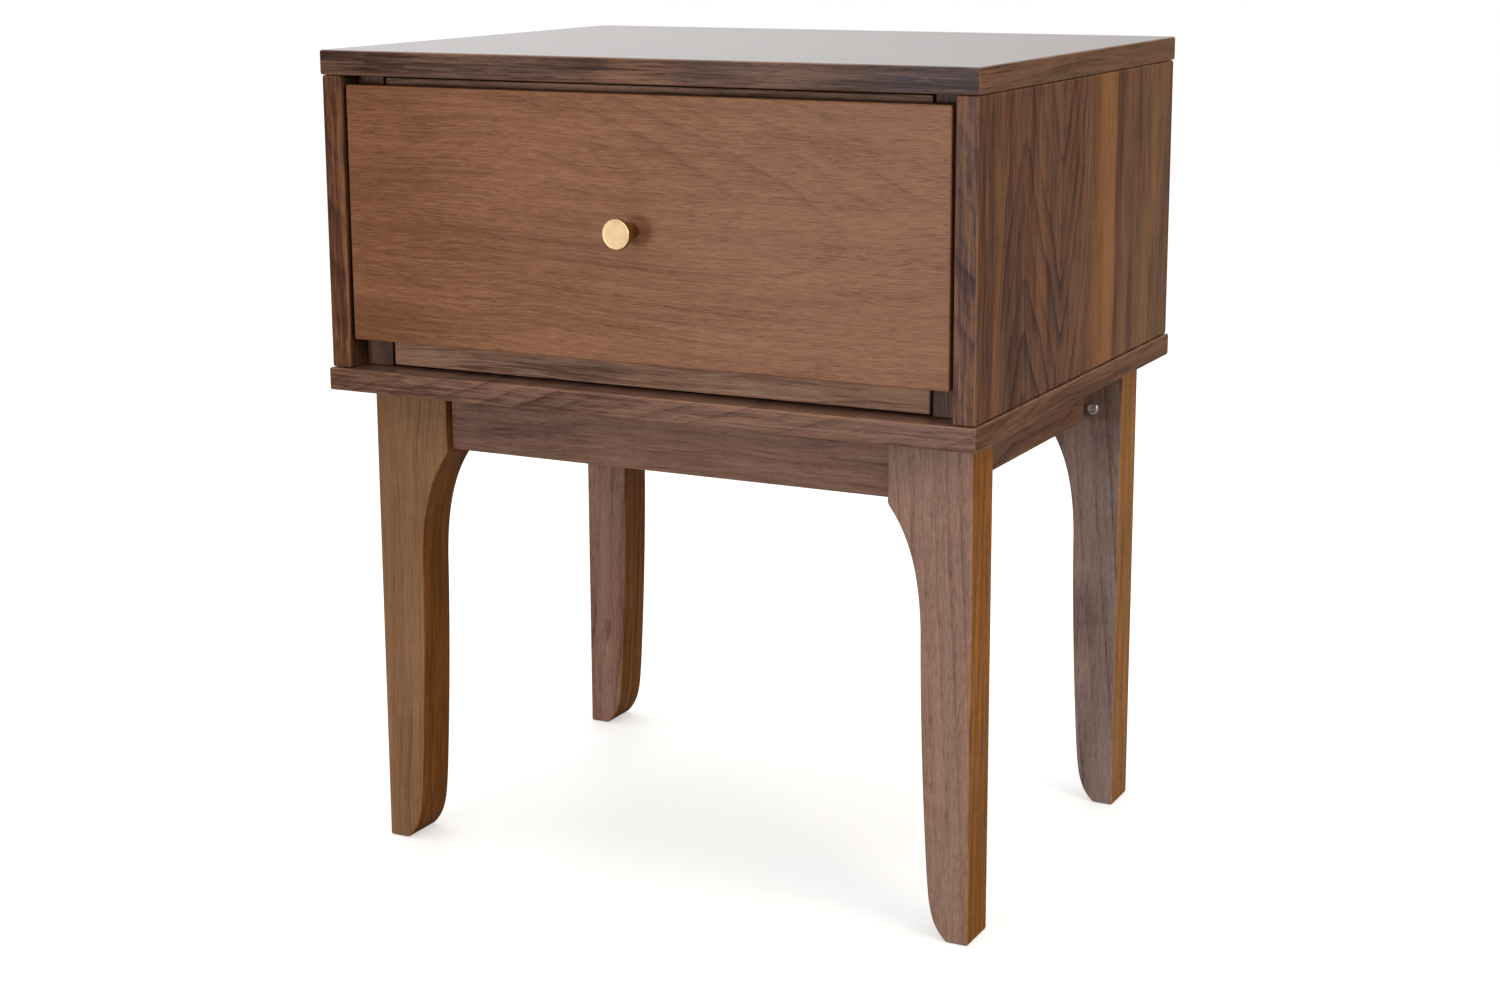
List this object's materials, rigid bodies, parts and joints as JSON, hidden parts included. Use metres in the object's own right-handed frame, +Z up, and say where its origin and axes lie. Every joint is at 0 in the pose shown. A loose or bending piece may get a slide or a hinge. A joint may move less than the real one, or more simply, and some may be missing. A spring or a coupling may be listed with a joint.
{
  "type": "side table with drawer",
  "caption": "Small walnut side table: a case with an inset drawer and round brass knob, on flat legs that curve inwards at the aprons and taper to rounded toes.",
  "frame": {"origin": "on the floor, under the centre of the whole object's box, which runs from the knob's face at the front to the bottom panel's rear edge", "axes": "+Z up; +X to the right as seen from the front; the drawer opens towards -Y"},
  "size_m": [0.502, 0.418, 0.594],
  "materials": {
    "case_walnut": "satin lacquered walnut, edge-glued staves",
    "drawer_front_walnut": "satin lacquered walnut, lighter and redder, grain across",
    "inner_walnut": "satin lacquered walnut, darker",
    "leg_walnut": "satin lacquered walnut, grain upright",
    "apron_walnut": "satin lacquered walnut, grain lengthwise",
    "drawer_box_wood": "clear lacquered light hardwood and plywood",
    "secondary_wood": "unfinished hardwood",
    "brushed_brass": "brushed, turned face",
    "zinc_plated_steel": "zinc plated"
  },
  "bodies": {
    "carcase": {"top_panel": "case_walnut", "bottom_panel": "case_walnut", "side_panel_left": "case_walnut", "side_panel_right": "case_walnut", "front_stile_left": "inner_walnut", "front_stile_right": "inner_walnut", "back_panel": "inner_walnut", "leg_front_left": "leg_walnut", "leg_front_right": "leg_walnut", "leg_rear_left": "leg_walnut", "leg_rear_right": "leg_walnut", "apron_front": "apron_walnut", "apron_rear": "apron_walnut", "apron_left": "apron_walnut", "apron_right": "apron_walnut", "corner_block_front_left": "secondary_wood", "corner_block_front_right": "secondary_wood", "corner_block_rear_left": "secondary_wood", "corner_block_rear_right": "secondary_wood", "slide_packer_left": "secondary_wood", "slide_packer_right": "secondary_wood", "leg_bolt_front_left": "zinc_plated_steel", "leg_bolt_front_right": "zinc_plated_steel", "leg_bolt_rear_left": "zinc_plated_steel", "leg_bolt_rear_right": "zinc_plated_steel", "corner_screw_front_left": "zinc_plated_steel", "corner_screw_front_right": "zinc_plated_steel", "corner_screw_rear_left": "zinc_plated_steel", "corner_screw_rear_right": "zinc_plated_steel", "slide_outer_left": "zinc_plated_steel", "slide_outer_right": "zinc_plated_steel"},
    "drawer": {"drawer_front": "drawer_front_walnut", "drawer_box_front": "inner_walnut", "drawer_box_side_left": "drawer_box_wood", "drawer_box_side_right": "drawer_box_wood", "drawer_box_back": "drawer_box_wood", "drawer_box_bottom": "drawer_box_wood", "knob": "brushed_brass", "knob_screw": "zinc_plated_steel", "drawer_front_screw_lower_left": "zinc_plated_steel", "drawer_front_screw_lower_right": "zinc_plated_steel", "drawer_front_screw_upper_left": "zinc_plated_steel", "drawer_front_screw_upper_right": "zinc_plated_steel", "slide_inner_left": "zinc_plated_steel", "slide_inner_right": "zinc_plated_steel"},
    "slide_left": {"slide_middle_left": "zinc_plated_steel"},
    "slide_right": {"slide_middle_right": "zinc_plated_steel"}
  },
  "joints": [
    {"name": "drawer_slide", "type": "slide", "parent": "carcase", "child": "drawer", "axis": [0, -1, 0], "range_m": [0, 0.3]},
    {"name": "slide_left_extension", "type": "slide", "parent": "carcase", "child": "slide_left", "axis": [0, -1, 0], "range_m": [0, 0.15]},
    {"name": "slide_right_extension", "type": "slide", "parent": "carcase", "child": "slide_right", "axis": [0, -1, 0], "range_m": [0, 0.15]}
  ],
  "couplings": [
    {"joint": "slide_left_extension", "follows": "drawer_slide", "ratio": 0.5},
    {"joint": "slide_right_extension", "follows": "drawer_slide", "ratio": 0.5}
  ]
}
